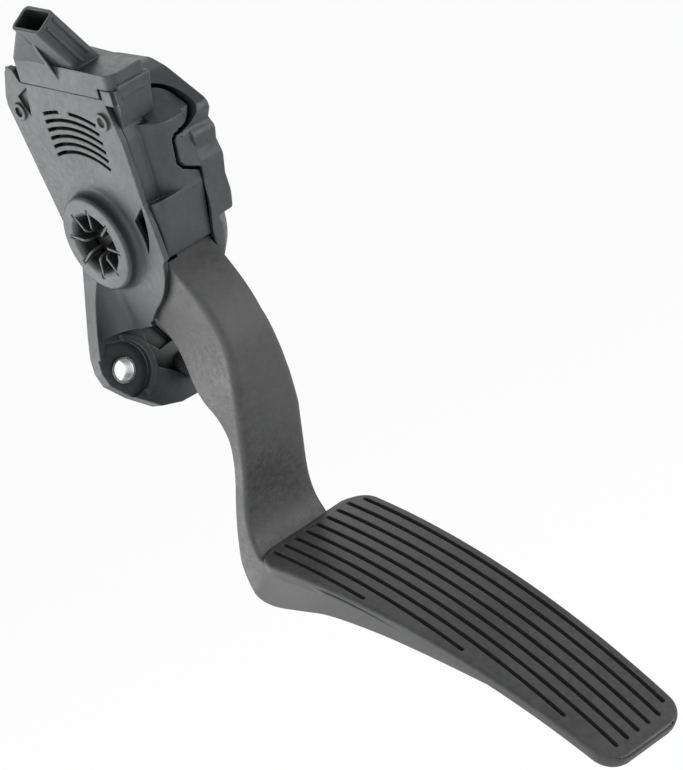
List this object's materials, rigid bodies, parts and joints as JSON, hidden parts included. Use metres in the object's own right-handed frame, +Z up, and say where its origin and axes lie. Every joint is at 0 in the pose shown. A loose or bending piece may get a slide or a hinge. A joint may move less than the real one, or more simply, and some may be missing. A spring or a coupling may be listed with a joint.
{
  "type": "accelerator pedal",
  "caption": "Suspended accelerator pedal with a curved, grooved pad on a spring-loaded arm, a moulded bearing housing and an electronic position sensor with a connector socket.",
  "frame": {"origin": "on the axis of the lower mounting sleeve, at the mounting face", "axes": "+Y into the bulkhead, +Z up, +X to the right as the driver sees it"},
  "size_m": [0.069, 0.1768, 0.3385],
  "materials": {
    "body": "black glass-filled moulding with a fine grain",
    "bearing": "smooth natural acetal",
    "steel": "zinc plated",
    "bumper": "matt",
    "magnet": "nickel plated",
    "board": "solder mask",
    "chip": "moulded",
    "contact": "tin plated"
  },
  "bodies": {
    "housing_body": {"housing": "body", "front_cover": "body", "spring_cover": "body", "sensor_cap": "body", "bush_left": "bearing", "bush_right": "bearing", "thrust_washer": "steel", "lower_sleeve": "steel", "upper_sleeve": "steel", "outer_spring": "steel", "inner_spring": "steel", "friction_shoe": "bearing", "idle_stop": "bumper", "full_stop": "bumper", "sensor_board": "board", "hall_chips": "chip", "board_parts": "chip", "terminals": "contact", "cover_screws": "steel"},
    "pedal": {"pedal_arm": "body", "spring_seat": "bearing", "magnet_carrier": "bearing", "magnets": "magnet"}
  },
  "joints": [
    {"name": "pedal_pivot", "type": "hinge", "parent": "housing_body", "child": "pedal", "pos_m": [0.02, -0.025, 0.052], "axis": [1, 0, 0], "range_deg": [0, 15], "stiffness_Nm_per_rad": 5, "springref_deg": -13.75, "deforming": ["outer_spring", "inner_spring"]}
  ]
}
